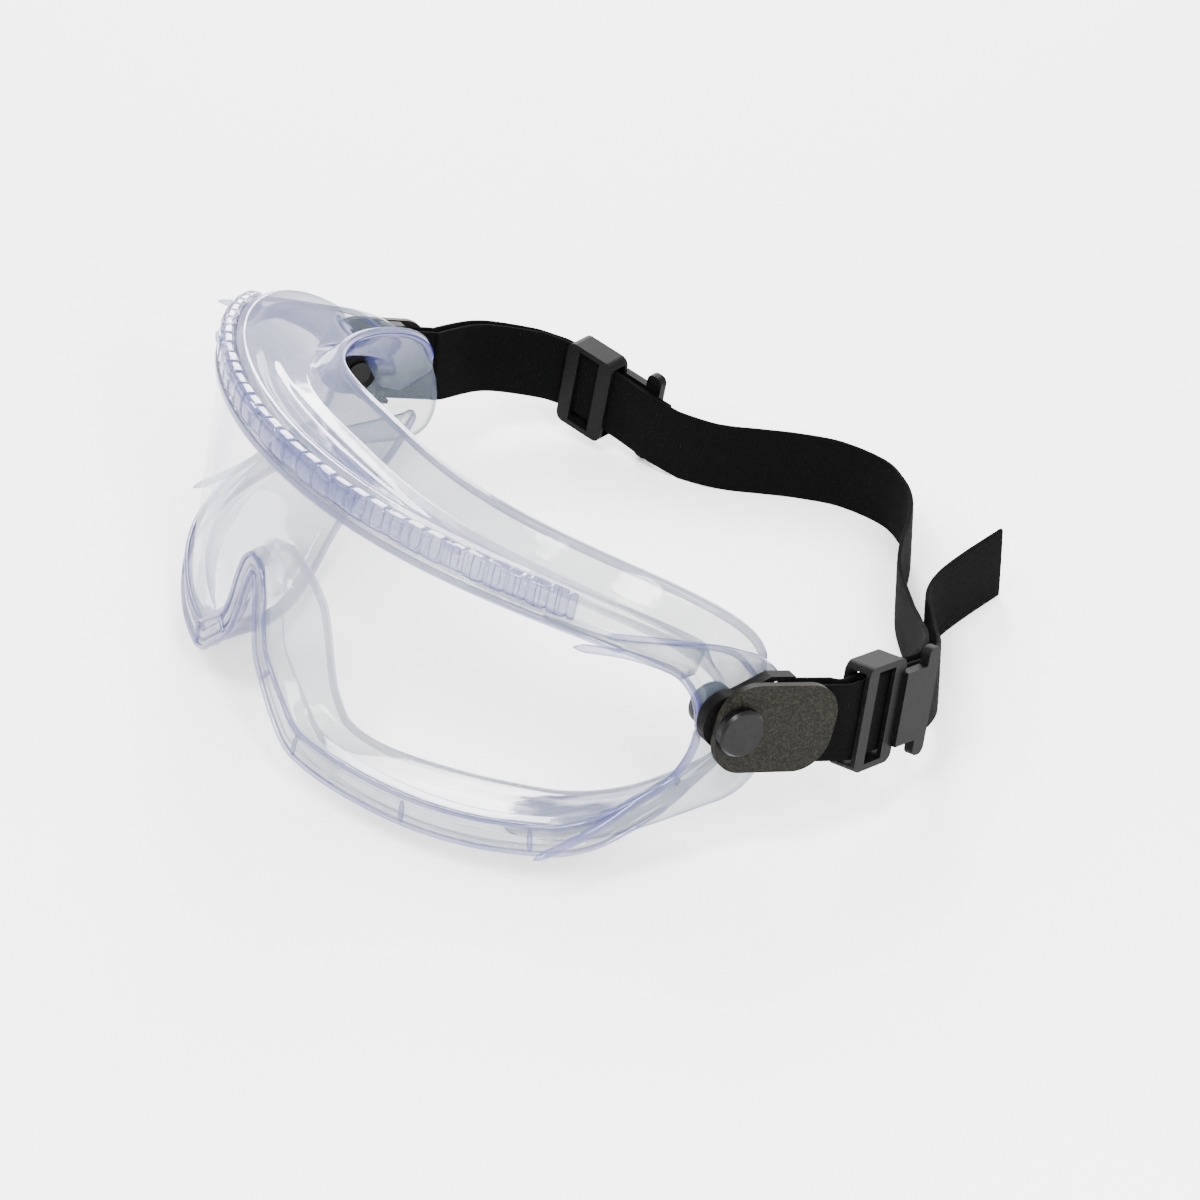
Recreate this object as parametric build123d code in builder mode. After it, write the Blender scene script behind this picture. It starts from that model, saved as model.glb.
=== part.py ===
from build123d import *
from math import sin, cos, tan, radians, hypot
import os

os.makedirs("parts", exist_ok=True)

# ---- driving dimensions, mm and degrees ---------------------------------------------------
# Goggle frame: X to the wearer's left, Y from the lens back to the face, Z up the face.
WALL_A = 82.0          # half width of the oval the front wall follows in plan
WALL_D = 48.5          # its depth, from the nose back to the widest point
FACE_A = 72.0          # half width of the edge that meets the face
FACE_Y0, FACE_DY = 25.5, 47.0   # depth of that edge over the nose, and how much more at the temples
CHEEK_Y0, CHEEK_DY = 9.0, 61.0  # the same for the lower edge
WALL_T = 2.2           # wall of the soft moulding
LIP, LIP_H = 4.6, 6.0  # depth and height of the lip that holds the lens
LENS_IN, LENS_T = 1.0, 1.8
LENS_BITE = 1.6        # lens edge inside the lip
GROOVE = 0.1           # lens groove clearance
LENS_END = 55.0        # how far back the lens reaches at the temples
LEAN = 11.2            # the goggles lean back this much on a table
SEAT_Y, SEAT_Z = -87.52, -16.58
PIN_Y, PIN_Z = 57.5, 60.2
PIN_R, HEAD_R, HEAD_T = 2.5, 4.7, 1.8
RUN = 0.05             # radial clearance of the pivots
PLATE_T = 2.6          # temple wall at the pivot
LUG_TILT = -4.0        # the lugs point this much below the goggle frame's own level
LUG_X, LUG_T = 82.3, 2.6
BAR_X, BAR_U, BAR_R = 84.3, 10.5, 0.45
COVER_X, COVER_T = 86.5, 1.4
COVER_U, COVER_L, COVER_H = 8.3, 25.4, 17.8   # middle behind the pivot, length, height
STRAP_T, STRAP_W = 1.2, 16.0
LAYER = 1.35           # half the distance between the two strap layers at the lug
LAYER_B = 1.05         # the same inside a buckle
BUCKLE_L, BUCKLE_H, BUCKLE_T = 13.0, 21.0, 5.6
END_BAR_L, END_BAR_H, END_BAR_AT = 4.0, 22.0, 15.0
NECK_H = 15.0          # between the two notches beside the end bar

SEAT = Location((0, SEAT_Y, SEAT_Z), (-LEAN, 0, 0))
LUG = SEAT * Location((0, PIN_Y, PIN_Z), (LUG_TILT, 0, 0))
PIVOT = LUG.position
SLOPE = tan(radians(LEAN - LUG_TILT))
STATIONS = [-88 + 11 * i for i in range(17)]


def front(t):
    """Point of the front wall in plan, t degrees round from the nose."""
    return WALL_A * sin(radians(t)), WALL_D * (1 - cos(radians(t)))


def rear(t):
    """Point of the face edge in plan for the same t."""
    return FACE_A * sin(radians(t)), FACE_Y0 + FACE_DY * abs(sin(radians(t))) ** 2.9


def rear_low(t):
    """The same along the cheeks, which sit closer to the lens."""
    return FACE_A * sin(radians(t)), CHEEK_Y0 + CHEEK_DY * abs(sin(radians(t))) ** 2.1


def depth(t, back=rear):
    f, r = front(t), back(t)
    return hypot(r[0] - f[0], r[1] - f[1])


def z_window_top(t):
    u = radians(t) / 1.5
    return 76.3 + 3.2 * u ** 2 - 10.5 * u ** 4


def z_bottom(t):
    return 24.6 + 16.5 * (t / 92) ** 4


def z_face_top(t):
    return 61.0 + 24.2 * abs(cos(radians(t))) ** 0.6


def z_face_bottom(t):
    return 21.5 + 24.0 * (abs(t) / 90) ** 2.3 + 16 * max(0, 1 - abs(t) / 32) ** 2


def upper_section(t):
    """Top of the moulding: lip, rebate for the vent band, top wall, flared face edge."""
    z, r, f = z_window_top(t), depth(t), z_face_top(t)
    low = min(f - 5.5, z + 5.6)
    return [(0, z), (0, z + 1.6), (3.7, z + 1.6), (3.7, z + 6.2), (5.4, z + 6.6), (r - 8, low),
            (r - 0.5, f), (r, f - 0.6), (r, f - 2.4), (r - 8, low - WALL_T), (6.2, z + 4.4),
            (5.9, z + 3.0), (LIP, z)]


def lower_section(t):
    """Bottom of the moulding: lens lip and the wall that runs back to the cheek."""
    z, r = z_bottom(t), depth(t, rear_low)
    f = min(z_face_bottom(t), z + 0.5 * r)
    return [(0, z), (0, z + LIP_H), (LIP, z + LIP_H), (LIP, z + WALL_T + 0.6),
            (r - 1.5, f + WALL_T), (r, f + WALL_T), (r, f)]


def band_section(t):
    z = z_window_top(t)
    return [(0.1, z + 1.8), (0.1, z + 4.6), (2.4, z + 7.0), (3.5, z + 7.0), (3.5, z + 1.8)]


def section_plane(t, back=rear):
    f, r, n = front(t), back(t), depth(t, back)
    along = ((r[0] - f[0]) / n, (r[1] - f[1]) / n, 0)
    return Plane(origin=(f[0], f[1], 0), x_dir=along, z_dir=(along[1], -along[0], 0))


def run_sections(stations, section, back=rear):
    """Sketch the section at each station of the wrap and loft through them."""
    faces = []
    for t in stations:
        with BuildSketch(section_plane(t, back)) as s:
            with BuildLine():
                Polyline(*section(t), close=True)
            make_face()
        faces.append(s.sketch.faces()[0])
    loft(sections=faces)


NOSE_FRONT = [(0, 52.5), (2.2, 48), (3.6, 42), (6.5, 36.5), (11, 32.5), (16, 29), (21, 25), (28, 15), (36, 2)]
NOSE_REAR = [(0, 56), (7, 54.5), (12.5, 50.5), (14.5, 44), (16.5, 38), (19.5, 32.5), (22.5, 28), (29, 15), (37, 2)]


def nose_solid(grow):
    """Saddle over the nose: a narrow V at the lens that opens to a wide arch at the face."""
    faces = []
    for y, mix in ((-3, -0.1), (12, 1.0), (40, 1.5)):
        half = [(a[0] + (b[0] - a[0]) * mix, a[1] + (b[1] - a[1]) * mix)
                for a, b in zip(NOSE_FRONT, NOSE_REAR)]
        half = [(max(x, 0) + (grow if i else 0), z + grow) for i, (x, z) in enumerate(half)]
        with BuildSketch(Plane(origin=(0, y, 0), x_dir=(1, 0, 0), z_dir=(0, -1, 0))) as s:
            with BuildLine():
                Polyline(*half, *[(-x, z) for x, z in reversed(half[1:])], close=True)
            make_face()
        faces.append(s.sketch.faces()[0])
    loft(sections=faces, ruled=True)


def oval_strip(inset, thick, y_end):
    """Vertical strip that follows the front wall and runs straight back at the temples."""
    with BuildSketch(Plane(origin=(0, WALL_D, 10), x_dir=(1, 0, 0), z_dir=(0, 0, 1))) as s:
        for d, mode in ((inset, Mode.ADD), (inset + thick, Mode.SUBTRACT)):
            a, b = WALL_A - d, WALL_D - d
            e = y_end - WALL_D + (2 if mode == Mode.SUBTRACT else 0)
            with BuildLine():
                arc = EllipticalCenterArc((0, 0), a, b, start_angle=180, arc_size=180)
                Polyline(arc @ 1, (a, e), (-a, e), arc @ 0)
            make_face(mode=mode)
    extrude(s.sketch, amount=80)


def side_outline(points):
    """Keep only what lies inside an outline drawn on the side view."""
    with BuildSketch(Plane(origin=(-120, 0, 0), x_dir=(0, 1, 0), z_dir=(1, 0, 0))) as s:
        with BuildLine():
            Polyline(*points, close=True)
        make_face()
    extrude(s.sketch, amount=240, mode=Mode.INTERSECT)


def lens_outline(grow):
    """Lens edge on the side view: height of its top and bottom against the depth."""
    t_list = [0, 12, 24, 36, 48, 58, 67, 75, 82]
    top = [(front(t)[1], z_window_top(t) + LENS_BITE + grow) for t in t_list]
    low = [(front(t)[1], z_bottom(t) + LIP_H - LENS_BITE - grow) for t in t_list]
    e = LENS_END + grow
    end = [(e - 5, 69.5), (e - 1.5, 65.0), (e, 60.0), (e, 54.0), (e - 1.5, 49.5), (e - 5, 46.0)]
    return [(-6, top[0][1])] + top + end + low[::-1] + [(-6, low[0][1])]


# ---- lens ---------------------------------------------------------------------------------
with BuildPart() as lens:
    oval_strip(LENS_IN, LENS_T, LENS_END)
    side_outline(lens_outline(0))
with BuildPart() as nose_lens:
    nose_solid(WALL_T - 0.8)
with BuildPart() as lens_trimmed:
    add(lens.part)
    add(nose_lens.part, mode=Mode.SUBTRACT)

with BuildPart() as groove:
    oval_strip(LENS_IN - GROOVE, LENS_T + 2 * GROOVE, LENS_END + GROOVE)
    side_outline(lens_outline(GROOVE))
with BuildPart() as nose_groove:
    nose_solid(WALL_T - 0.8 - GROOVE)
with BuildPart() as groove_trimmed:
    add(groove.part)
    add(nose_groove.part, mode=Mode.SUBTRACT)

# ---- soft moulded body --------------------------------------------------------------------
with BuildPart() as nose_out:
    nose_solid(WALL_T)
with BuildPart() as nose_in:
    nose_solid(0)

with BuildPart() as upper_rim:
    run_sections(STATIONS, upper_section)
with BuildPart() as lower_rim:
    run_sections(STATIONS, lower_section, rear_low)

TEMPLE_PLAN = [(WALL_A, 44), (WALL_A, 62), (80.9, 66), (78.2, 71), (75.0, 74.5), (72.0, 73.0), (75.6, 69.5),
               (78.0, 65), (WALL_A - PLATE_T, 61), (WALL_A - PLATE_T, 44)]
TEMPLE_SIDE = [(44, 75), (60, 73), (69, 68.5), (74.5, 61), (75, 50), (71, 43.5), (60, 42.4), (50, 40),
               (44, 37.5), (44, 43.5), (50, 47), (53.4, 52.5), (53.6, 58.5), (51.2, 64), (47.5, 68.2), (44, 70)]
with BuildPart() as temples:
    with BuildSketch(Plane.XY.offset(30)):
        with BuildLine():
            Polyline(*TEMPLE_PLAN, close=True)
        make_face()
        mirror(about=Plane.YZ)
    extrude(amount=50)
    side_outline(TEMPLE_SIDE)

with BuildPart() as nose_shell:
    with BuildSketch(Plane(origin=(0, 0, 10), x_dir=(1, 0, 0), z_dir=(0, 0, 1))):
        with BuildLine():
            ts = [-24 + 4 * i for i in range(13)]
            Polyline(*[front(t) for t in ts], *[rear_low(t) for t in reversed(ts)], close=True)
        make_face()
    extrude(amount=60)
    add(nose_out.part, mode=Mode.INTERSECT)
    add(nose_in.part, mode=Mode.SUBTRACT)
    side_outline([(-2, 24.6), (4, 24.6), (20, 30.0), (20, 62), (-2, 62)])

with BuildPart() as frame_body:
    add(upper_rim.part)
    add(lower_rim.part)
    add(nose_out.part, mode=Mode.SUBTRACT)
    add(nose_shell.part)
    add(temples.part)
    add(groove_trimmed.part, mode=Mode.SUBTRACT)
    with BuildSketch(Plane(origin=(-100, PIN_Y, PIN_Z), x_dir=(0, 1, 0), z_dir=(1, 0, 0))):
        Circle(PIN_R + RUN)
    extrude(amount=200, mode=Mode.SUBTRACT)

# ---- vent band along the front top edge -----------------------------------------------------
with BuildPart() as vent_band:
    run_sections([-64 + 8 * i for i in range(17)], band_section)
    for t in [-60 + 10 * i for i in range(13)]:
        f = front(t)
        spot = section_plane(t)
        with BuildSketch(Plane(origin=(f[0], f[1], z_window_top(t) + 3.4), x_dir=spot.x_dir, z_dir=(0, 0, 1))) as s:
            with Locations((0.0, 0)):
                Rectangle(3.0, 6.4)
        extrude(s.sketch, amount=12, mode=Mode.SUBTRACT)

# ---- pivots -----------------------------------------------------------------------------------
SIDE_PLANE = Plane(origin=(0, PIN_Y, PIN_Z), x_dir=(0, 1, 0), z_dir=(1, 0, 0))
HEAD_X = COVER_X + COVER_T + 0.15
WASHER_X, WASHER_T = WALL_A - PLATE_T - 0.7, 1.6

with BuildPart() as pivot_pins:
    with BuildSketch(SIDE_PLANE.offset(HEAD_X)) as s:
        Circle(HEAD_R)
    extrude(s.sketch, amount=HEAD_T)
    chamfer(pivot_pins.edges().sort_by(Axis.X)[-1], 0.5)
    with BuildSketch(SIDE_PLANE.offset(WASHER_X - WASHER_T - 0.6)) as s:
        Circle(PIN_R)
    extrude(s.sketch, amount=HEAD_X - WASHER_X + WASHER_T + 0.6)
    mirror(about=Plane.YZ)

with BuildPart() as pivot_washers:
    with BuildSketch(SIDE_PLANE.offset(WASHER_X - WASHER_T)) as s:
        Circle(4.4)
        Circle(PIN_R, mode=Mode.SUBTRACT)
    extrude(s.sketch, amount=WASHER_T)
    mirror(about=Plane.YZ)

# ---- lugs: drawn round the pivot, u back along the strap, w up -----------------------------------
LUG_PLANE = Plane(origin=(0, 0, 0), x_dir=(0, 1, 0), z_dir=(1, 0, 0))
RAIL, RAIL_T = STRAP_W / 2 + 0.3, 0.9


def lug_carrier():
    """Plate on the pivot with two rails that hold the bar the strap loops round."""
    with BuildPart() as p:
        with BuildSketch(LUG_PLANE.offset(LUG_X)) as s:
            Circle(5.6)
            with BuildLine():
                e, w = BAR_U + 1.2, RAIL + RAIL_T
                Polyline((0, -5.6), (6.4, -w), (e, -w), (e, -RAIL), (7.2, -RAIL), (7.2, RAIL), (e, RAIL), (e, w),
                         (6.4, w), (0, 5.6), close=True)
            make_face()
            Circle(PIN_R + RUN, mode=Mode.SUBTRACT)
        extrude(s.sketch, amount=LUG_T)
        with BuildSketch(LUG_PLANE.offset(LUG_X + LUG_T)) as s:
            Circle(3.9)
            Circle(PIN_R + RUN, mode=Mode.SUBTRACT)
        extrude(s.sketch, amount=COVER_X - LUG_X - LUG_T)
        with BuildSketch(Plane(origin=(BAR_X, BAR_U, -RAIL - 0.5), z_dir=(0, 0, 1))) as s:
            Circle(BAR_R)
        extrude(s.sketch, amount=2 * RAIL + 1)
    return p.part


def lug_cover():
    """Thin rounded plate over the pivot end of the strap loop."""
    with BuildPart() as p:
        with BuildSketch(LUG_PLANE.offset(COVER_X)) as s:
            with Locations((COVER_U, 0)):
                RectangleRounded(COVER_L, COVER_H, 7.0)
            Circle(PIN_R + RUN, mode=Mode.SUBTRACT)
        extrude(s.sketch, amount=COVER_T)
    return p.part


carrier, cover = lug_carrier(), lug_cover()

# ---- headband, drawn in plan where it stands on the table ------------------------------------
BUCKLES = {"left": ((81.2, 12.5), (-0.42, 0.9075)), "right": ((-77.0, 37.4), (0.93, 0.3676))}


def buckle_frame(side):
    """Centre, unit direction along the strap and unit outward normal, in plan."""
    c, d = BUCKLES[side]
    n = (d[1], -d[0]) if side == "left" else (-d[1], d[0])
    return c, d, n


def off(side, along, out):
    c, d, n = buckle_frame(side)
    return c[0] + d[0] * along + n[0] * out, c[1] + d[1] * along + n[1] * out


REST_Y = 52.0          # from here back the webbing stands on the table
FALL = [(30.0, -0.1), (35.5, -0.9), (39.5, -2.2), (43.0, -3.9), (46.5, -4.7)]


def mid_height(y):
    """Height of the middle of the webbing at depth y: straight from the lugs, then down to the table."""
    points = [(-60, 0)] + FALL
    for (a, da), (b, db) in zip(points, points[1:]):
        if a <= y <= b:
            return PIVOT.Z - SLOPE * (y - PIVOT.Y) + da + (db - da) * (y - a) / (b - a)
    return STRAP_W / 2


START_Y = 0.0          # the plan takes over here from the loop round the bar
LOOP_U = 23.0          # where the loop ends, back from the pivot
REAR = [(66.6, 34.4), (60.0, 38.9), (51.5, 43.2), (41.6, 47.4), (27.0, 53.8), (17.0, 60.6), (10.0, 66.8), (2.5, 71.9), (-5, 74.6), (-14, 75.6),
        (-25.4, 72.0), (-33, 66), (-39, 59.4), (-43.6, 54), (-50.5, 48.2)]
TAIL = [(68.6, 35.6), (61.6, 40.9), (54.6, 44.8), (46.4, 49.2), (38.5, 53.2), (33.0, 59.5), (28.5, 68.5), (23.5, 80.8)]


ENTER, LEAVE = 8.0, 19.0   # straight webbing each way from the middle of a buckle


def smooth(points, first, last):
    """Spline through the points, with its direction at each end."""
    with BuildLine(mode=Mode.PRIVATE) as l:
        Spline(*points, tangents=(first, last))
    return l.line.edges()[0]


def run_line(side, out, beyond):
    """Centre line of one layer, from the lug to just past the buckle."""
    sx = 1 if side == "left" else -1
    x = sx * (BAR_X + (LAYER if out > 0 else -LAYER))
    bulge = {"left": [], "right": [(-90.2 - 1.2 * out, 15), (-89.2 - 1.1 * out, 24.5)]}[side]
    straight = [off(side, a, LAYER_B * out) for a in (-ENTER, -ENTER / 2, 0, LEAVE / 3, LEAVE * 2 / 3, beyond)]
    return smooth([(x, START_Y), (x, 1.2), (x, 2.4), *bulge, *straight], (0, 1), BUCKLES[side][1])


def ribbon(line, steps=60):
    """Plan of the webbing that follows a line: one smooth edge each side of it."""
    spots = [i / steps for i in range(steps + 1)]
    with BuildSketch() as s:
        with BuildLine():
            edges = []
            for out in (STRAP_T / 2, -STRAP_T / 2):
                ends = [(line.position_at(u), line.tangent_at(u)) for u in spots]
                edges.append(Spline(*[(p.X + q.Y * out, p.Y - q.X * out) for p, q in ends]))
            Line(edges[0] @ 0, edges[1] @ 0)
            Line(edges[0] @ 1, edges[1] @ 1)
        make_face()
    return s.sketch


FOLD_T = STRAP_T - 0.1  # the fold round the bar is pressed a little flatter

with BuildPart() as loops:
    with BuildSketch(Plane(origin=(0, 0, -STRAP_W / 2 + 0.05), z_dir=(0, 0, 1))) as s:
        with Locations((BAR_X, BAR_U)):
            Circle(LAYER + FOLD_T / 2)
            Circle(LAYER - FOLD_T / 2, mode=Mode.SUBTRACT)
        with Locations((BAR_X, (BAR_U + LOOP_U) / 2)):
            Rectangle(2 * LAYER + FOLD_T, LOOP_U - BAR_U)
            Rectangle(2 * LAYER - FOLD_T, LOOP_U - BAR_U, mode=Mode.SUBTRACT)
    extrude(s.sketch, amount=STRAP_W - 0.1)
    mirror(about=Plane.YZ)

with BuildPart() as strap:
    with BuildSketch(Plane.XY) as s:
        for side in ("left", "right"):
            add(ribbon(run_line(side, -1, LEAVE)))
            add(ribbon(run_line(side, 1, LEAVE if side == "left" else LEAVE + 3)))
        d, e = BUCKLES["left"][1], BUCKLES["right"][1]
        add(ribbon(smooth([off("left", LEAVE - 1, -LAYER_B), *REAR, off("right", LEAVE - 1, -LAYER_B)], d, (-e[0], -e[1]))))
        add(ribbon(smooth([off("left", LEAVE - 1, LAYER_B), *TAIL], d, (-0.4, 0.92))))
    extrude(s.sketch, amount=60)
    half = STRAP_W / 2 / cos(radians(LEAN - LUG_TILT))
    ys = [-6, 30] + [f[0] for f in FALL[1:]]
    low = [(y, mid_height(y) - half) for y in ys] + [(REST_Y, 0), (100, 0)]
    high = [(y, mid_height(y) + half) for y in ys] + [(REST_Y, STRAP_W), (100, STRAP_W)]
    side_outline(low + high[::-1])
    add(loops.part.moved(LUG))


def slide_buckle(side):
    """Three-bar slide: two end bars outside and inside, one bar between the two layers."""
    c, d, n = buckle_frame(side)
    fall = (mid_height(c[1] + 2) - mid_height(c[1] - 2)) / 4
    x_dir = Vector(d[0], d[1], fall * d[1]).normalized()
    at = Plane(origin=(c[0], c[1], mid_height(c[1])), x_dir=x_dir, z_dir=(n[0], n[1], 0))
    slot, skin = STRAP_W + 2.4, 2 * LAYER_B + STRAP_T + 0.5
    with BuildPart(at) as p:
        with BuildSketch(at.offset(-BUCKLE_T / 2)) as s:
            RectangleRounded(BUCKLE_L, BUCKLE_H, 2.0)
        extrude(s.sketch, amount=BUCKLE_T)
        with BuildSketch(at.offset(BUCKLE_T / 2 - 0.9)) as s:
            with Locations(((BUCKLE_L / 2 + END_BAR_AT) / 2, 0)):
                Rectangle(END_BAR_AT - BUCKLE_L / 2 + 1, NECK_H)
            with Locations((END_BAR_AT, 0)):
                RectangleRounded(END_BAR_L, END_BAR_H, 1.6)
        extrude(s.sketch, amount=1.9)
        with BuildSketch(at.offset(-skin / 2)) as s:
            Rectangle(BUCKLE_L + 20, slot)
        extrude(s.sketch, amount=skin, mode=Mode.SUBTRACT)
        with BuildSketch(at.offset(-BUCKLE_T)) as s:
            with Locations((-0.2, 0)):
                Rectangle(5.8, slot)
        extrude(s.sketch, amount=2 * BUCKLE_T, mode=Mode.SUBTRACT)
        with BuildSketch(at.offset(-0.25)) as s:
            Rectangle(2.6, slot + 1)
        extrude(s.sketch, amount=0.5)
    return p.part


NODES = [("frame_body", frame_body), ("lens", lens_trimmed), ("vent_band", vent_band),
         ("pivot_pins", pivot_pins), ("pivot_washers", pivot_washers)]
for label, piece in NODES:
    piece.part = piece.part.moved(SEAT)
    piece.part.label = label
    export_step(piece.part, f"parts/{label}.step")

strap.part.label = "strap"
export_step(strap.part, "parts/strap.step")

for side in ("left", "right"):
    for label, shape in (("lug_carrier", carrier), ("lug_cover", cover)):
        with BuildPart() as lug:
            add(shape.moved(LUG))
            if side == "right":
                mirror(about=Plane.YZ)
                split(bisect_by=Plane.YZ, keep=Keep.BOTTOM)
        lug.part.label = f"{label}_{side}"
        export_step(lug.part, f"parts/{label}_{side}.step")
    with BuildPart() as buckle:
        add(slide_buckle(side))
    buckle.part.label = f"slide_buckle_{side}"
    export_step(buckle.part, f"parts/slide_buckle_{side}.step")
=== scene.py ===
import math

import bpy
import numpy as np
from mathutils import Matrix, Vector


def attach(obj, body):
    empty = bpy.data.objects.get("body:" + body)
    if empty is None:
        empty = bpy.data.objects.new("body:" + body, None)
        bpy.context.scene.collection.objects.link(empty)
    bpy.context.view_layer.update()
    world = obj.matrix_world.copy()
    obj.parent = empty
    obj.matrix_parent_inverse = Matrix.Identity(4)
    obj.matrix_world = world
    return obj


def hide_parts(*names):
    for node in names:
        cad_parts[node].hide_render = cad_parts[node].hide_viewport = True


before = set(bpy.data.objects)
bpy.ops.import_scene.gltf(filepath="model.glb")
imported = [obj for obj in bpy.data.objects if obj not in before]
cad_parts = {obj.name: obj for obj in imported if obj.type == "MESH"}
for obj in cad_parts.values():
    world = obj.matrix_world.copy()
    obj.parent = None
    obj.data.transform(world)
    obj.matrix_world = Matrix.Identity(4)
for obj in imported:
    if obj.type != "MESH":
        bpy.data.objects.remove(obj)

bl_info = {
    "name": "Safety goggles",
    "version": (1, 0, 0),
    "blender": (4, 5, 0),
    "location": "View3D > Sidebar > Goggles",
    "description": "Clear wrap-around safety goggles with a woven headband, built round a packed part",
    "category": "Object",
}

MM = 0.001
PICK_PITCH = 0.62   # mm from one crosswise thread of the webbing to the next
END_PITCH = 0.9     # mm from one lengthwise thread to the next
LOOK_AT = (0.00698, -0.00492, 0.01342)   # metres


# ---- measurements that the pieces share ----------------------------------------------------


class GogglesShape(bpy.types.PropertyGroup):
    wall_half_width: bpy.props.FloatProperty(
        name="Wall half width", description="Half width of the oval the front wall follows, mm", default=82.0)
    wall_depth: bpy.props.FloatProperty(
        name="Wall depth", description="Depth of that oval, mm", default=48.5)
    lean: bpy.props.FloatProperty(
        name="Lean", description="How far the goggles lean back on the table, degrees", default=11.2)
    seat_y: bpy.props.FloatProperty(
        name="Seat back", description="Where the lens stands in depth, mm", default=-87.52)
    seat_z: bpy.props.FloatProperty(
        name="Seat height", description="Height of the goggles' own zero, mm", default=-16.58)
    bead: bpy.props.FloatProperty(
        name="Edge bead", description="Radius of the rolled face edge, mm", default=0.85)
    band_pitch: bpy.props.FloatProperty(
        name="Band pitch", description="Angle between two dividers of the vent band, degrees", default=3.9)


class HeadbandShape(bpy.types.PropertyGroup):
    width: bpy.props.FloatProperty(
        name="Webbing width", description="Width of the woven elastic, mm", default=16.0)
    thickness: bpy.props.FloatProperty(
        name="Webbing thickness", description="Thickness of one layer, mm", default=1.06)
    bar_x: bpy.props.FloatProperty(
        name="Bar", description="How far out the lug bar stands, mm", default=84.3)
    bar_back: bpy.props.FloatProperty(
        name="Bar back", description="Lug bar behind the pivot, mm", default=10.5)
    layer: bpy.props.FloatProperty(
        name="Layer", description="Half the gap between layers at the lug, mm", default=1.35)
    layer_buckle: bpy.props.FloatProperty(
        name="Layer in buckle", description="Half that gap inside a buckle, mm", default=1.05)
    lug_tilt: bpy.props.FloatProperty(
        name="Lug tilt", description="Lug fall against the table, degrees", default=15.2)
    ribs: bpy.props.IntProperty(name="Ribs", description="Woven ribs across the webbing", default=11)


class StageSettings(bpy.types.PropertyGroup):
    camera_turn: bpy.props.FloatProperty(
        name="Camera turn", description="Degrees round from the front", default=62.13)
    camera_rise: bpy.props.FloatProperty(
        name="Camera rise", description="Degrees above the table", default=29.87)
    camera_distance: bpy.props.FloatProperty(
        name="Camera distance", description="From the point looked at", default=0.7189, unit="LENGTH")
    camera_lens: bpy.props.FloatProperty(name="Camera lens", description="Focal length, mm", default=106.68)
    sky: bpy.props.FloatProperty(name="Sky", description="Strength of the even light all round", default=2.7)
    key: bpy.props.FloatProperty(name="Key light", description="Power of each lamp, W", default=16.0)


def shape():
    return bpy.context.scene.goggles_shape


def band():
    return bpy.context.scene.headband_shape


# ---- small helpers ---------------------------------------------------------------------------


def seat(points):
    """From the goggles' own frame in mm to metres on the table: lean back about X, then move to the seat."""
    s, a = shape(), math.radians(-shape().lean)
    p = np.asarray(points, float)
    y = p[..., 1] * math.cos(a) - p[..., 2] * math.sin(a) + s.seat_y
    z = p[..., 1] * math.sin(a) + p[..., 2] * math.cos(a) + s.seat_z
    return np.stack([p[..., 0], y, z], -1) * MM


def through(points, count, closed=False):
    """Evenly spaced points: Catmull-Rom pieces through the given points, walked at equal lengths."""
    p = np.asarray(points, float)
    q = np.vstack([p[-1:], p, p[:2]]) if closed else np.vstack([2 * p[0] - p[1], p, 2 * p[-1] - p[-2]])
    u = np.linspace(0, 1, 25)[:-1, None]
    a, b, c, d = (q[i:len(q) - 3 + i, None] for i in range(4))
    fine = 0.5 * (2 * b + (c - a) * u + (2 * a - 5 * b + 4 * c - d) * u ** 2
                  + (3 * b - a - 3 * c + d) * u ** 3)
    fine = fine.reshape(-1, p.shape[1])
    fine = np.vstack([fine, p[:1] if closed else p[-1:]])
    along = np.concatenate([[0], np.cumsum(np.linalg.norm(np.diff(fine, axis=0), axis=1))])
    at = np.linspace(0, along[-1], count + (1 if closed else 0))
    at = at[:-1] if closed else at
    return np.stack([np.interp(at, along, fine[:, k]) for k in range(p.shape[1])], -1)


def skin(name, grid, material, body, loop_u=False, loop_v=True, uv_rows=None):
    """Mesh over a grid of points: rows along the piece, columns round it. Open ends get one face each."""
    rows, cols = grid.shape[:2]
    index = np.arange(rows * cols).reshape(rows, cols)
    a = index if loop_u else index[:-1]
    b = np.roll(index, -1, 0) if loop_u else index[1:]
    if not loop_v:
        quads = np.stack([a[:, :-1], a[:, 1:], b[:, 1:], b[:, :-1]], -1).reshape(-1, 4)
    else:
        quads = np.stack([a, np.roll(a, -1, 1), np.roll(b, -1, 1), b], -1).reshape(-1, 4)
    faces = quads.tolist()
    if loop_v and not loop_u:
        faces += [index[0, ::-1].tolist(), index[-1].tolist()]
    mesh = bpy.data.meshes.new(name)
    mesh.from_pydata(grid.reshape(-1, 3).tolist(), [], faces)
    mesh.validate()
    obj = bpy.data.objects.new(name, mesh)
    bpy.context.scene.collection.objects.link(obj)
    uv = mesh.uv_layers.new(name="cloth")
    v_of = np.zeros(len(mesh.loops), np.int32)
    mesh.loops.foreach_get("vertex_index", v_of)
    row, col = v_of // cols, v_of % cols
    step = np.concatenate([[0], np.cumsum(np.linalg.norm(np.diff(grid.mean(1), axis=0), axis=1))])
    across = np.concatenate([[0], np.cumsum(np.linalg.norm(np.diff(grid[rows // 2], axis=0), axis=1))])
    along = step / MM if uv_rows is None else uv_rows
    flat = np.stack([along[row], across[col] / MM], -1)
    uv.data.foreach_set("uv", flat.astype(np.float32).ravel())
    mesh.polygons.foreach_set("use_smooth", np.ones(len(mesh.polygons), bool))
    mesh.materials.append(material)
    fix_outward(mesh)
    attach(obj, body)
    return obj


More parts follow.
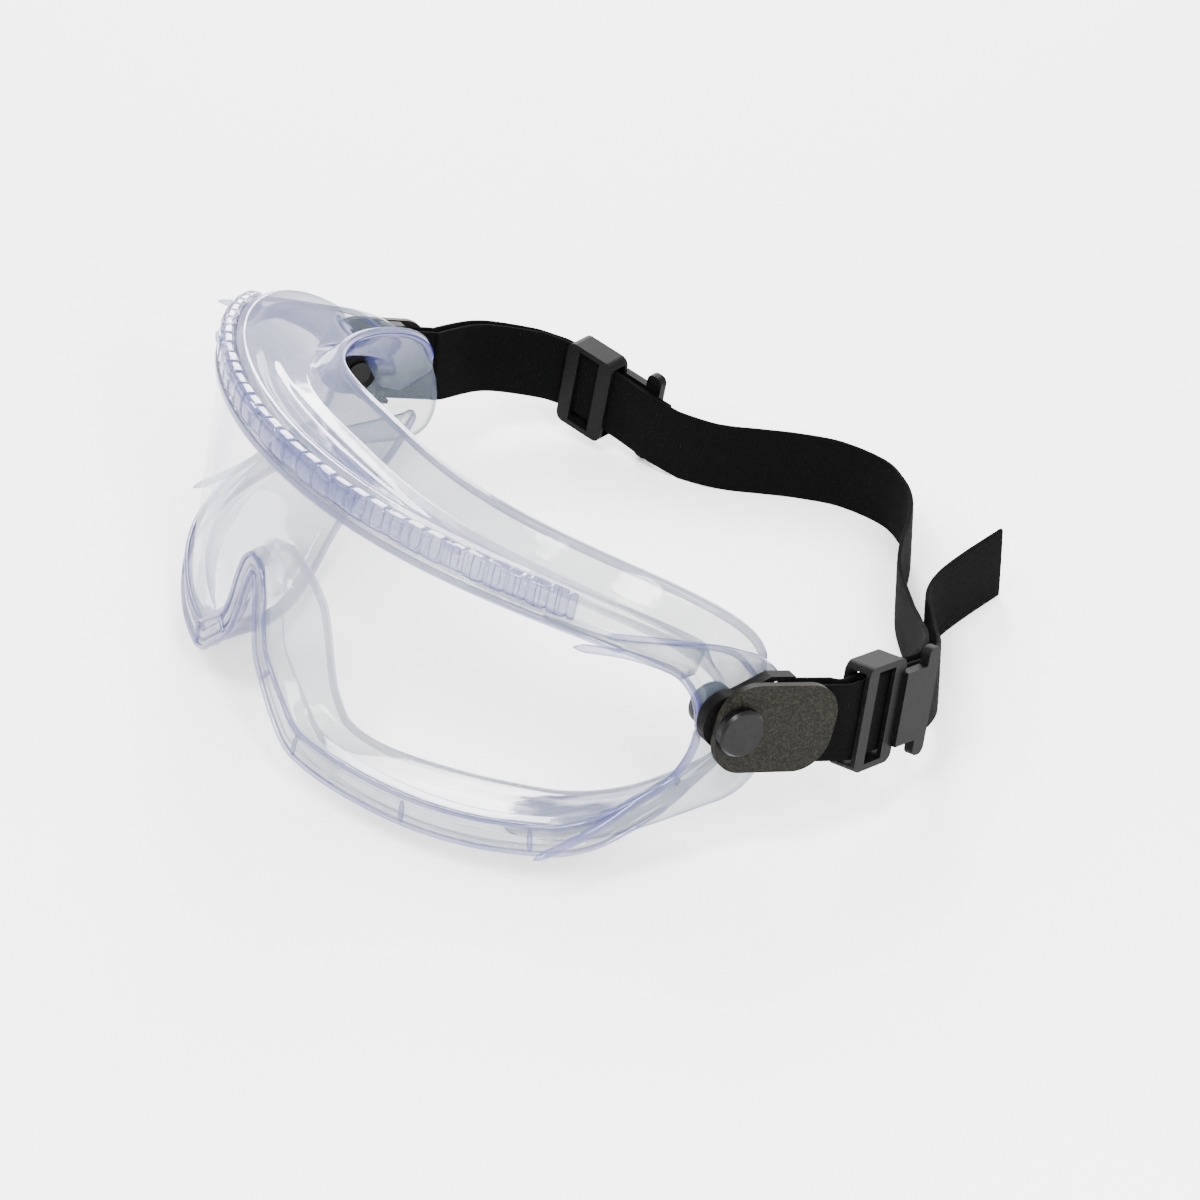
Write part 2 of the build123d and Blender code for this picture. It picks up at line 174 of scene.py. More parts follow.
def fix_outward(mesh):
    """Turns every face over if the mesh's signed volume is negative."""
    co = np.zeros(len(mesh.vertices) * 3)
    mesh.vertices.foreach_get("co", co)
    co = co.reshape(-1, 3)
    mesh.calc_loop_triangles()
    tri = np.zeros(len(mesh.loop_triangles) * 3, np.int32)
    mesh.loop_triangles.foreach_get("vertices", tri)
    a, b, c = (co[tri.reshape(-1, 3)[:, k]] for k in range(3))
    if np.einsum("ij,ij->i", a, np.cross(b, c)).sum() < 0:
        mesh.flip_normals()


def tube(name, path, radius, material, body, closed=False, sides=12):
    """Round bead: circles of the given radius set square to a smooth line, ends drawn in to a small nub."""
    p = np.asarray(path, float)
    t = np.gradient(p, axis=0)
    if closed:
        t = np.roll(p, -1, 0) - np.roll(p, 1, 0)
    t /= np.linalg.norm(t, axis=1)[:, None]
    side = np.cross(t, (0.0, 0.12, 1.0))
    side /= np.linalg.norm(side, axis=1)[:, None]
    top = np.cross(side, t)
    a = np.linspace(0, 2 * math.pi, sides, endpoint=False)
    r = np.full(len(p), radius)
    if not closed:
        r[0] = r[-1] = radius * 0.25
        r[1] = r[-2] = radius * 0.8
    ring = np.cos(a)[None, :, None] * side[:, None] + np.sin(a)[None, :, None] * top[:, None]
    return skin(name, p[:, None] + ring * r[:, None, None], material, body, loop_u=closed)


# ---- materials -------------------------------------------------------------------------------


def new_material(name):
    """Empty material with a Principled shader, and a helper that adds and links nodes."""
    m = bpy.data.materials.new(name)
    m.use_nodes = True
    nodes, links = m.node_tree.nodes, m.node_tree.links
    shader = nodes["Principled BSDF"]

    def put(kind, values=(), **links_in):
        n = nodes.new(kind)
        for k, v in dict(values).items():
            if hasattr(n, k):
                setattr(n, k, v)
            else:
                n.inputs[k].default_value = v
        for k, out in links_in.items():
            links.new(out, n.inputs[k])
        return n
    return m, shader, put, links


def clear_material(name, face, edge, thin, thick, rough, bump=0.0, lines=0.0):
    """Clear moulded plastic: pale and see-through face on, denser and bluer edge on, with painted shade lines
    if asked: thin opaque dark blue lines that stand in for the dark look of divider walls.
    """
    m, shader, put, links = new_material(name)
    weight = put("ShaderNodeLayerWeight", {"Blend": 0.42})
    place = put("ShaderNodeTexCoord")
    cloud = put("ShaderNodeTexNoise", {"Scale": 55.0, "Detail": 3.0}, Vector=place.outputs["Object"])
    mix = put("ShaderNodeValToRGB", Fac=weight.outputs["Facing"])
    ramp = mix.color_ramp
    ramp.elements[0].position, ramp.elements[0].color = 0.25, (*face, 1)
    ramp.elements[1].position, ramp.elements[1].color = 0.95, (*edge, 1)
    colour, painted_shade_line = mix.outputs["Color"], None
    # Painted shade: thin opaque dark blue lines, one per UV unit along the piece, standing in for the dark look
    # of divider walls in the clear plastic.
    if lines:
        split = put("ShaderNodeSeparateXYZ", Vector=place.outputs["UV"])
        saw = put("ShaderNodeMath", {"operation": "FRACT"})
        links.new(split.outputs["X"], saw.inputs[0])
        away = put("ShaderNodeMath", {"operation": "PINGPONG"})
        links.new(saw.outputs[0], away.inputs[0])
        away.inputs[1].default_value = 0.5
        painted_shade_line = put("ShaderNodeMapRange", {"From Min": 0.0, "From Max": lines, "To Min": 1.0, "To Max": 0.0},
                    Value=away.outputs[0])
        shade_colour_mix = put("ShaderNodeMix", {"data_type": "RGBA"})
        links.new(painted_shade_line.outputs["Result"], shade_colour_mix.inputs[0])
        links.new(mix.outputs["Color"], shade_colour_mix.inputs[6])
        shade_colour_mix.inputs[7].default_value = (0.03, 0.03, 0.11, 1)
        colour = shade_colour_mix.outputs[2]
    links.new(colour, shader.inputs["Base Color"])
    dense = put("ShaderNodeMapRange", {"From Min": 0.2, "From Max": 0.95, "To Min": thin, "To Max": thick},
                Value=weight.outputs["Facing"])
    vary = put("ShaderNodeMapRange", {"From Min": 0.3, "From Max": 0.7, "To Min": 0.85, "To Max": 1.15},
               Value=cloud.outputs["Fac"])
    both = put("ShaderNodeMath", {"operation": "MULTIPLY"})
    links.new(dense.outputs["Result"], both.inputs[0])
    links.new(vary.outputs["Result"], both.inputs[1])
    last = both
    if painted_shade_line:
        last = put("ShaderNodeMath", {"operation": "MAXIMUM"})
        links.new(both.outputs[0], last.inputs[0])
        links.new(painted_shade_line.outputs["Result"], last.inputs[1])
    links.new(last.outputs[0], shader.inputs["Alpha"])
    shader.inputs["Roughness"].default_value = rough
    shader.inputs["IOR"].default_value = 1.53
    shader.inputs["Specular IOR Level"].default_value = 0.6
    if bump:
        ripple = put("ShaderNodeTexNoise", {"Scale": 160.0, "Detail": 2.0}, Vector=place.outputs["Object"])
        lift = put("ShaderNodeBump", {"Strength": bump, "Distance": 0.0006}, Height=ripple.outputs["Fac"])
        links.new(lift.outputs["Normal"], shader.inputs["Normal"])
    return m


def plastic_material(name, colour, pale, rough, grain, grain_scale, depth, shine=0.06):
    """Moulded plastic with a fine spark-eroded grain that shows in its colour, gloss and surface."""
    m, shader, put, links = new_material(name)
    place = put("ShaderNodeTexCoord")
    speck = put("ShaderNodeTexNoise", {"Scale": grain_scale, "Detail": 4.0, "Roughness": 0.7},
                Vector=place.outputs["Object"])
    tone = put("ShaderNodeValToRGB", Fac=speck.outputs["Fac"])
    tone.color_ramp.elements[0].position, tone.color_ramp.elements[0].color = 0.42, (*colour, 1)
    tone.color_ramp.elements[1].position, tone.color_ramp.elements[1].color = 0.66, (*pale, 1)
    links.new(tone.outputs["Color"], shader.inputs["Base Color"])
    gloss = put("ShaderNodeMapRange", {"To Min": rough - grain, "To Max": rough + grain},
                Value=speck.outputs["Fac"])
    links.new(gloss.outputs["Result"], shader.inputs["Roughness"])
    lift = put("ShaderNodeBump", {"Strength": 0.35, "Distance": depth}, Height=speck.outputs["Fac"])
    links.new(lift.outputs["Normal"], shader.inputs["Normal"])
    shader.inputs["Specular IOR Level"].default_value = shine
    return m


def webbing_material(name):
    """Black woven elastic: a weave of two sine waves along and round the webbing, with stray lint."""
    m, shader, put, links = new_material(name)
    uv = put("ShaderNodeTexCoord")
    split = put("ShaderNodeSeparateXYZ", Vector=uv.outputs["UV"])
    picks = put("ShaderNodeMath", {"operation": "MULTIPLY"})
    links.new(split.outputs["X"], picks.inputs[0])
    picks.inputs[1].default_value = 2 * math.pi / PICK_PITCH
    ends = put("ShaderNodeMath", {"operation": "MULTIPLY"})
    links.new(split.outputs["Y"], ends.inputs[0])
    ends.inputs[1].default_value = 2 * math.pi / END_PITCH
    wave_a = put("ShaderNodeMath", {"operation": "SINE"})
    links.new(picks.outputs[0], wave_a.inputs[0])
    wave_b = put("ShaderNodeMath", {"operation": "SINE"})
    links.new(ends.outputs[0], wave_b.inputs[0])
    weave = put("ShaderNodeMath", {"operation": "MULTIPLY"})
    links.new(wave_a.outputs[0], weave.inputs[0])
    links.new(wave_b.outputs[0], weave.inputs[1])
    lint = put("ShaderNodeTexNoise", {"Scale": 2.4, "Detail": 5.0}, Vector=uv.outputs["UV"])
    height = put("ShaderNodeMath", {"operation": "MULTIPLY_ADD"})
    links.new(lint.outputs["Fac"], height.inputs[0])
    height.inputs[1].default_value = 0.5
    links.new(weave.outputs[0], height.inputs[2])
    tone = put("ShaderNodeValToRGB", Fac=height.outputs[0])
    tone.color_ramp.elements[0].color = (0.0004, 0.0004, 0.0004, 1)
    tone.color_ramp.elements[1].color = (0.0018, 0.0018, 0.002, 1)
    links.new(tone.outputs["Color"], shader.inputs["Base Color"])
    lift = put("ShaderNodeBump", {"Strength": 0.6, "Distance": 0.00012}, Height=height.outputs[0])
    links.new(lift.outputs["Normal"], shader.inputs["Normal"])
    shader.inputs["Roughness"].default_value = 0.93
    shader.inputs["Specular IOR Level"].default_value = 0.04
    return m


def paint_node(name, material):
    """Gives a CAD node its finish."""
    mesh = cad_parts[name].data
    mesh.materials.clear()
    mesh.materials.append(material)


# ---- lines of the moulding --------------------------------------------------------------------


def front_at(t):
    """Plan of the front wall: an oval, t degrees round from the nose."""
    s = shape()
    return s.wall_half_width * np.sin(np.radians(t)), s.wall_depth * (1 - np.cos(np.radians(t)))


def window_top(t):
    u = np.radians(t) / 1.5
    return 76.3 + 3.2 * u ** 2 - 10.5 * u ** 4


def flange_line(count=160, inset=0.6):
    """Rear edge of the moulding, where it meets the face: over the brow from temple to temple."""
    t = np.linspace(-86, 86, count)
    s = np.abs(np.sin(np.radians(t)))
    return np.stack([72.0 * np.sin(np.radians(t)), 25.5 + 47.0 * s ** 2.9 - inset,
                     60.4 + 24.2 * np.abs(np.cos(np.radians(t))) ** 0.6 - inset], -1)


# Lower edge of the moulding from the top of the nose arch to the wearer's left temple: the front corner, then
# the rear corner that belongs to it, in the goggles' own frame.
LOWER_EDGE = [((0, 0.4, 52.4), (0, 8.6, 55.6)), ((2.2, 0.4, 48.5), (7.2, 9.0, 54.4)),
              ((3.6, 0.4, 43), (12.2, 9.7, 51.0)), ((6.0, 0.5, 37.6), (14.8, 10.5, 44.6)),
              ((10.4, 0.9, 33.0), (16.8, 11.2, 38.6)),
              ((15.4, 1.2, 29.2), (18.8, 12.2, 33.6)), ((20.5, 1.9, 25.9), (22.0, 14.6, 28.6)),
              ((27, 2.9, 24.9), (28.5, 20.5, 25.8)), ((39.1, 6.0, 25.0), (38.0, 30.0, 25.2)),
              ((53.6, 11.6, 26.0), (48.0, 38.5, 26.6)), ((65, 18.4, 27.6), (57.0, 46.0, 29.0)),
              ((73.0, 25.8, 29.4), (63.5, 53.0, 33.0)), ((77.8, 31.6, 31.0), (67.5, 59.5, 37.5)),
              ((80.4, 37.6, 33.6), (70.3, 65.0, 42.0)), ((81.2, 44, 37.2), (71.8, 68.5, 46.0)),
              ((81.4, 50.5, 41.2), (73.2, 71.5, 50.5))]


def both_sides(half):
    """A line drawn from the nose to the wearer's left, continued from the right side."""
    h = np.asarray(half, float).reshape(len(half), -1)
    turn = np.tile((-1.0, 1.0, 1.0), h.shape[1] // 3)
    return np.vstack([h[:0:-1] * turn, h])


def rounded(section, parts=3, rounds=2):
    """Closed outlines with eased corners: sides are split in equal parts, then corners are cut in turn."""
    p = np.asarray(section, float)
    q = np.roll(p, -1, 1)
    u = (np.arange(parts) / parts)[None, None, :, None]
    p = (p[:, :, None] * (1 - u) + q[:, :, None] * u).reshape(len(p), -1, p.shape[2])
    for _ in range(rounds):
        q = np.roll(p, -1, 1)
        p = np.stack([0.75 * p + 0.25 * q, 0.25 * p + 0.75 * q], 2).reshape(len(p), -1, p.shape[2])
    return p


def columns(*pairs):
    """Outline whose corners change along the piece: each pair is (across, up), one number or one per row."""
    rows = max(np.size(v) for pair in pairs for v in pair)
    corners = [[np.broadcast_to(a, rows), np.broadcast_to(b, rows)] for a, b in pairs]
    return np.stack([np.stack(corner, -1) for corner in corners], 1)


def upper_grid():
    """Brow: at each angle the section runs from the front wall back to the face edge and flares."""
    t = np.linspace(-88, 88, 320)
    x, y = front_at(t)
    sine = np.abs(np.sin(np.radians(t)))
    rx, ry = 72.0 * np.sin(np.radians(t)), 25.5 + 47.0 * sine ** 2.9
    r = np.hypot(rx - x, ry - y)
    z, f = window_top(t), 61.0 + 24.2 * np.abs(np.cos(np.radians(t))) ** 0.6
    low = np.minimum(f - 5.5, z + 5.6)
    section = columns((0 * r, z), (0 * r, z + 1.6), (3.7, z + 1.6), (3.7, z + 6.2), (5.4, z + 6.6),
                      (r - 11, low + 1.0), (r - 6.5, low + 0.6), (r - 1.6, f - 0.2), (r - 0.3, f),
                      (r, f - 1.2), (r - 0.8, f - 2.4), (r - 6.2, low - 1.8), (r - 11, low - 1.4),
                      (6.2, z + 4.4), (5.9, z + 3.0), (4.6, z))
    p = rounded(section)
    d = p[..., 0]
    oval = (x[:, None] / 45) ** 2 + ((d - 10.6) / 3.7) ** 2
    sunk = 0.7 / (1 + np.exp(np.clip((oval - 1) * 9, -40, 40)))
    ux, uy = ((rx - x) / r)[:, None], ((ry - y) / r)[:, None]
    return np.stack([x[:, None] + ux * d, y[:, None] + uy * d, p[..., 1] - sunk], -1)


def lower_lines(count):
    """Front corner, rear corner and the way up to the window, at even steps along the lower edge."""
    line = through(both_sides([a + b for a, b in LOWER_EDGE]), count)
    a, b = line[:, :3], line[:, 3:]
    along = np.gradient(a, axis=0)
    along /= np.linalg.norm(along, axis=1)[:, None]
    s = shape()
    out = np.stack([a[:, 0] / s.wall_half_width ** 2, (a[:, 1] - s.wall_depth) / s.wall_depth ** 2,
                    0 * a[:, 0]], -1)
    out /= np.linalg.norm(out, axis=1)[:, None]
    up = np.cross(out, along)
    return a, b, up / np.linalg.norm(up, axis=1)[:, None]


def lower_grid():
    """Cheeks and nose arch: a lip with two grooves faces forward, and a wall runs back to the cheek edge."""
    a, b, up = lower_lines(420)
    back = b - a
    r = np.linalg.norm(back, axis=1)
    back /= r[:, None]
    lip = 4.6 + 1.6 * np.clip(np.abs(a[:, 0]) / 16, 0, 1)
    section = columns((0.5, 0 * r), (1.5, -0.1), (1.9, 0.55), (2.3, -0.1), (3.6, -0.15), (4.0, 0.5),
                      (lip - 0.6, 0.0), (lip, 0.8), (lip, 4.2), (lip - 0.8, 4.7), (2.8, 4.9),
                      (2.4, r - 2.4), (3.0, r - 0.9), (2.4, r), (0.6, r), (0.1, r - 1.2), (0.2, r - 3.0),
                      (0.1, 4.6), (-0.25, 3.4), (0.1, 2.4), (-0.15, 1.2))
    p = rounded(section, parts=2)
    return a[:, None] + up[:, None] * p[..., :1] + back[:, None] * p[..., 1:]


CHEEK_BARS = (9.0, 24.0, 53.0, 74.5)   # how far out the small cross bars stand on the lip
# End of the window from top to bottom, (back, up): its front edge, then the rear edge of the wall beside it.
TEMPLE_EDGES = [((24, 76.0), (25, 76.4)), ((34, 73.9), (35.5, 74.8)), ((42, 71.2), (45, 74.6)),
                ((47.5, 68.4), (56, 73.4)), ((51.4, 64), (66.5, 69.4)), ((53.4, 58.5), (73.2, 62.5)),
                ((53.2, 52.5), (74.6, 52)), ((50, 47), (70.5, 44.8)),
                ((44, 43.4), (57, 40.6)), ((37, 38.6), (46, 37.6)), ((30, 35.0), (33, 33.6)),
                ((24, 32.8), (25, 32.4))]
BROW_RIDGE = [(80.0, 31, 77.2), (80.3, 46, 74.8), (80.2, 58, 72.0), (79.0, 65.5, 65.8)]
WINDOW_END = 80.9   # how far out the bead round the window's end stands


def temple_grid(side):
    """Side wall round the window's end: rows follow that end, columns go round the wall's thickness."""
    line = through([a + b for a, b in TEMPLE_EDGES], 110)
    v = np.concatenate([np.linspace(0, 1, 26), np.linspace(1, 0, 26)])
    yz = line[:, None, :2] * (1 - v)[None, :, None] + line[:, None, 2:] * v[None, :, None]
    back = yz[..., 0]
    s = shape()
    ahead = np.clip(s.wall_depth - back, 0, s.wall_depth) / s.wall_depth
    oval = s.wall_half_width * np.sqrt(1 - ahead ** 2) - 0.1
    turn_in = np.interp(back, [0, 62, 66, 71, 75], [0, 0, 1.0, 3.7, 7.1])
    outer = oval - turn_in
    inner = oval - 2.5 - np.interp(back, [0, 61, 65, 69.5, 75], [0, 0, 1.4, 3.8, 8.2])
    edge = np.sin(np.pi * np.clip(v, 0.02, 0.98)) ** 0.16
    middle, half = (outer + inner) / 2, (outer - inner) / 2
    sign = np.where(np.arange(52) < 26, 1.0, -1.0)
    x = middle + half * sign[None] * edge[None]
    return np.stack([side * x, back, yz[..., 1]], -1)


# ---- one operator per piece ----------------------------------------------------------------------


class GOGGLES_OT_moulding(bpy.types.Operator):
    """Soft clear moulding: brow, cheeks, nose arch and temples, with rolled edges, ridges and cross bars"""
    bl_idname = "goggles.moulding"
    bl_label = "Soft moulding"

    def execute(self, context):
        body = clear_material("clear_vinyl", (0.085, 0.105, 0.135), (0.03, 0.028, 0.17), 0.32, 0.94, 0.07,
                              bump=0.10)
        rolled = clear_material("clear_vinyl_edges", (0.06, 0.065, 0.20), (0.018, 0.014, 0.14), 0.40, 0.96,
                                0.07)
        brow = skin("brow_moulding", seat(upper_grid()), body, "mask")
        made = [brow, skin("cheek_and_nose_moulding", seat(lower_grid()), body, "mask"),
                skin("temple_wall_left", seat(temple_grid(1)), body, "mask"),
                skin("temple_wall_right", seat(temple_grid(-1)), body, "mask")]
        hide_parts("frame_body")
        r = shape().bead
        made.append(tube("rolled_face_edge", seat(flange_line()), r * MM, rolled, "mask"))
        a, b, up = lower_lines(300)
        made.append(tube("rolled_cheek_edge", seat(b + up * 1.5), 0.8 * MM, rolled, "mask"))
        made.append(tube("rolled_lower_edge", seat(a + up * 0.4), 0.55 * MM, rolled, "mask"))
        lip = 4.2 + 1.6 * np.clip(np.abs(a[:, :1]) / 16, 0, 1)
        made.append(tube("window_low_bead", seat(a + up * lip), 0.5 * MM, rolled, "mask"))
        t = np.linspace(-74, 74, 180)
        x, y = front_at(t)
        top = np.stack([x, y + 0.8, window_top(t) + 0.2], -1)
        made.append(tube("window_top_bead", seat(top), 0.7 * MM, rolled, "mask"))
        end = through([a for a, b in TEMPLE_EDGES], 60)
        for side in (1, -1):
            word = "left" if side > 0 else "right"
            ridge = through(BROW_RIDGE, 60) * (side, 1, 1)
            made.append(tube(f"brow_ridge_{word}", seat(ridge), 0.6 * MM, rolled, "mask"))
            rim = np.column_stack([np.full(60, side * WINDOW_END), end])
            made.append(tube(f"window_end_bead_{word}", seat(rim), 0.8 * MM, rolled, "mask"))
            for k, at in enumerate(CHEEK_BARS):
                n = np.argmin(np.abs(a[:, 0] - side * at) + 100 * (a[:, 0] * side < 0))
                bar = a[n] + up[n] * np.linspace(0.4, 5.0, 8)[:, None] + (0, -0.1, 0)
                made.append(tube(f"cheek_bar_{k + 1}_{word}", seat(bar), 0.5 * MM, rolled, "mask"))
        return {"FINISHED"}


class GOGGLES_OT_lens(bpy.types.Operator):
    """Clear lens: hard and glossy, almost unseen except at grazing angles"""
    bl_idname = "goggles.lens"
    bl_label = "Lens"

    def execute(self, context):
        clear = clear_material("clear_lens", (0.97, 0.98, 1.0), (0.30, 0.34, 0.5), 0.006, 0.30, 0.03)
        paint_node("lens", clear)
        return {"FINISHED"}


SNAP_TABS = (-33.0, -7.0, 15.0, 41.0)   # degrees round from the nose


class GOGGLES_OT_vent_band(bpy.types.Operator):
    """Vent band: a bead of small clear cells along the top of the window, with snap tabs"""
    bl_idname = "goggles.vent_band"
    bl_label = "Vent band"

    def execute(self, context):
        """Rows follow the wall round; the band's outer face sinks between cells by a narrow bell curve."""
        rolled = clear_material("clear_band", (0.07, 0.08, 0.21), (0.02, 0.017, 0.15), 0.34, 0.96, 0.06)
        # The cells' material carries painted shade: thin dark blue lines across the band, one per cell pitch,
        # midway between the modelled grooves.
        celled = clear_material("clear_cells", (0.07, 0.08, 0.21), (0.02, 0.017, 0.15), 0.34, 0.96, 0.06,
                                lines=0.075)
        t = np.linspace(-64, 64, 1100)
        x, y = front_at(t)
        nx, ny = np.gradient(y, t), -np.gradient(x, t)
        n = np.hypot(nx, ny)
        nx, ny = nx / n, ny / n
        pitch = shape().band_pitch
        gap = np.abs((t / pitch + 0.5) % 1 - 0.5) * pitch
        cell = 1 - np.exp(-(gap / 0.32) ** 2)
        wide = np.abs((t / (3 * pitch)) % 1 - 0.5)
        cell = cell * (0.75 + 0.25 * np.tanh((wide - 0.12) * 20))
        a = np.linspace(0, 2 * math.pi, 36, endpoint=False)
        across = np.sign(np.cos(a)) * np.abs(np.cos(a)) ** 0.55
        upward = np.sign(np.sin(a)) * np.abs(np.sin(a)) ** 0.55
        out = -1.75 + 1.65 * across[None] * (0.72 + 0.28 * cell[:, None])
        z = window_top(t)[:, None] + 4.4 + 2.55 * upward[None] * (0.84 + 0.16 * cell[:, None])
        groove = 0.4 * np.exp(-((a - 0.55) / 0.1) ** 2)[None]
        out = out - groove
        grid = np.stack([x[:, None] + nx[:, None] * out, y[:, None] + ny[:, None] * out, z], -1)
        o = skin("vent_cells", seat(grid), celled, "mask", uv_rows=t / pitch + 0.5)
        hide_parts("vent_band")
        for k, middle in enumerate(SNAP_TABS):
            turn = middle + np.linspace(-1.6, 1.6, 14)
            x, y = front_at(turn)
            path = np.stack([x, y, window_top(turn) + 6.7], -1)
            tab = tube(f"snap_tab_{k + 1}", seat(path), 0.75 * MM, rolled, "mask")
        return {"FINISHED"}


class GOGGLES_OT_pivots(bpy.types.Operator):
    """Pivots and lugs: glossy black pins, nylon carriers and smoked, grained covers"""
    bl_idname = "goggles.pivots"
    bl_label = "Pivots and lugs"

    def execute(self, context):
        black = plastic_material("black_gloss", (0.001, 0.001, 0.001), (0.003, 0.003, 0.003), 0.3, 0.06,
                                 900.0, 0.00002, 0.12)
        nylon = plastic_material("black_nylon_grain", (0.0008, 0.0008, 0.0008), (0.003, 0.003, 0.003), 0.55,
                                 0.1, 1500.0, 0.00003)
        smoke = plastic_material("smoked_grain", (0.0015, 0.0015, 0.0012), (0.014, 0.0132, 0.009), 0.5, 0.1,
                                 2600.0, 0.00005)
        for name, m in (("pivot_pins", black), ("pivot_washers", nylon), ("lug_carrier_left", nylon),
                        ("lug_carrier_right", nylon), ("lug_cover_left", smoke), ("lug_cover_right", smoke),
                        ("slide_buckle_left", nylon), ("slide_buckle_right", nylon)):
            paint_node(name, m)
        return {"FINISHED"}


# ---- headband ----------------------------------------------------------------------------------

# Each buckle in plan: its middle, then the way its webbing runs, by side: 1 is the wearer's left, -1 the right.
BUCKLES = {1: ((81.2, 12.5), (-0.42, 0.9075)), -1: ((-77.0, 37.4), (0.93, 0.3676))}
# The webbing in plan: round the rear from the left buckle to the right one, then the left one's free tail.
REAR = [(66.6, 34.4), (60.0, 38.9), (51.5, 43.2), (41.6, 47.4), (27.0, 53.8), (17.0, 60.6), (10.0, 66.8),
        (2.5, 71.9), (-5, 74.6), (-14, 75.6), (-25.4, 72.0), (-33, 66), (-39, 59.4), (-43.6, 54),
        (-50.5, 48.2)]
TAIL = [(68.6, 35.6), (61.6, 40.9), (54.6, 44.8), (46.4, 49.2), (38.5, 53.2), (33.0, 59.5), (28.5, 68.5),
        (23.5, 80.8)]
LANDED_Y = 52.0   # from here back the webbing stands on its lower edge
# How much lower the webbing hangs than a straight line from the lug, from front to back.
FALL_Y = [-60, 30.0, 35.5, 39.5, 43.0, 46.5]
FALL_BY = [0, -0.1, -0.9, -2.2, -3.9, -4.7]


def pivot_point():
    p = seat([0, 57.5, 60.2]) / MM
    return p[1], p[2]


def mid_height(y):
    """Middle of the webbing: straight from the lug, then eased down to stand on the table."""
    py, pz = pivot_point()
    slope = math.tan(math.radians(band().lug_tilt))
    high = pz - slope * (y - py) + np.interp(y, FALL_Y, FALL_BY)
    last = float(pz - slope * (FALL_Y[-1] - py) + FALL_BY[-1])
    landing = np.interp(y, [FALL_Y[-1], LANDED_Y], [last, band().width / 2])
    return np.where(y < FALL_Y[-1], high, landing)


def beside(side, along, out):
    """Point in plan beside a buckle: so far along it and so far outward."""
    c, d = BUCKLES[side]
    n = (d[1], -d[0]) if side > 0 else (-d[1], d[0])
    return c[0] + d[0] * along + n[0] * out, c[1] + d[1] * along + n[1] * out


def layer_line(side, out, beyond):
    """Plan of one layer from the lug to just past its buckle."""
    b = band()
    x = side * (b.bar_x + b.layer * out)
    bulge = [] if side > 0 else [(-90.2 - 1.2 * out, 15), (-89.2 - 1.1 * out, 24.5)]
    straight = [beside(side, a, b.layer_buckle * out) for a in (-8.0, -4.0, 0, 6.3, 12.6, beyond)]
    return [(x, 0.0), (x, 1.2), (x, 2.4)] + bulge + straight


def webbing_path():
    """Middle line of the whole webbing: free tail, left lug and back, round the rear, right lug and back."""
    b = band()
    py, pz = pivot_point()
    tilt = math.radians(b.lug_tilt)

    def fold(side, outside_first):
        a = np.linspace(0, math.pi, 26) if outside_first else np.linspace(math.pi, 0, 26)
        x = side * (b.bar_x + b.layer * np.cos(a))
        u = b.bar_back - b.layer * np.sin(a)
        return np.stack([x, py + u * math.cos(tilt), pz - u * math.sin(tilt)], -1)

    def lift(plan):
        return np.column_stack([plan, mid_height(np.asarray(plan)[:, 1])])

    left_out = layer_line(1, 1, 18.0)
    left_in = layer_line(1, -1, 18.0)
    right_in = layer_line(-1, -1, 18.0)
    right_out = layer_line(-1, 1, 22.0)
    first = through(TAIL[::-1] + left_out[::-1], 420)
    middle = through(left_in + REAR + right_in[::-1], 900)
    last = through(right_out, 200)
    return np.vstack([lift(first), fold(1, True), lift(middle), fold(-1, False), lift(last)])


class GOGGLES_OT_headband(bpy.types.Operator):
    """Headband: one length of black woven elastic with ribs, folded round both lugs, with its free tail"""
    bl_idname = "goggles.headband"
    bl_label = "Headband"

    def execute(self, context):
        """Rows follow the webbing; each row is a flat ribbed section that stands square to it."""
        b = band()
        line = webbing_path()
        near = np.linalg.norm(np.diff(line, axis=0), axis=1) > 0.02
        line = line[np.concatenate([[True], near])]
        step = np.concatenate([[0], np.cumsum(np.linalg.norm(np.diff(line, axis=0), axis=1))])
        at = np.linspace(0, step[-1], int(step[-1] / 0.4))
        line = np.stack([np.interp(at, step, line[:, k]) for k in range(3)], -1)
        tangent = np.gradient(line[:, :2], axis=0)
        tangent /= np.linalg.norm(tangent, axis=1)[:, None]
        normal = np.stack([tangent[:, 1], -tangent[:, 0]], -1)
        tilt = math.radians(b.lug_tilt)
        g = np.clip((4 - line[:, 1]) / 6, 0, 1)
        g = g * g * (3 - 2 * g)
        half = np.interp(line[:, 1], [FALL_Y[-1], LANDED_Y], [b.width / 2 / math.cos(tilt), b.width / 2])
        up = np.stack([np.zeros(len(line)), g * math.sin(tilt) * b.width / 2,
                       (1 - g) * half + g * math.cos(tilt) * b.width / 2], -1)
        a = np.linspace(0, 2 * math.pi, 88, endpoint=False)
        w = np.sign(np.sin(a)) * np.abs(np.sin(a)) ** 0.5 * 0.992
        flat = np.sign(np.cos(a)) * np.abs(np.cos(a)) ** 0.22
        ribs = 1 - 0.10 * (0.5 - 0.5 * np.cos(w * math.pi * b.ribs))
        out = flat * ribs * b.thickness / 2
        grid = np.zeros((len(line), len(a), 3))
        grid[:] = line[:, None]
        grid += up[:, None] * w[None, :, None]
        grid[..., :2] += normal[:, None] * out[None, :, None]
        grid[..., 2] = np.maximum(grid[..., 2], 0.02)
        o = skin("headband_webbing", grid * MM, webbing_material("woven_elastic"), "headband")
        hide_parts("strap")
        return {"FINISHED"}


# ---- stage ---------------------------------------------------------------------------------------


# Each lamp: its name, place, width and length in metres. All of them face the object.
LAMPS = (("key_lamp", (0.3, -0.5, 0.9), 0.3, 0.3), ("rim_strip", (-0.69, 0.37, 0.5), 0.2, 0.8),
         ("side_strip", (0.75, -0.15, 0.55), 0.12, 0.6))
FLOOR_REACH = 4.0   # metres from the middle to an edge


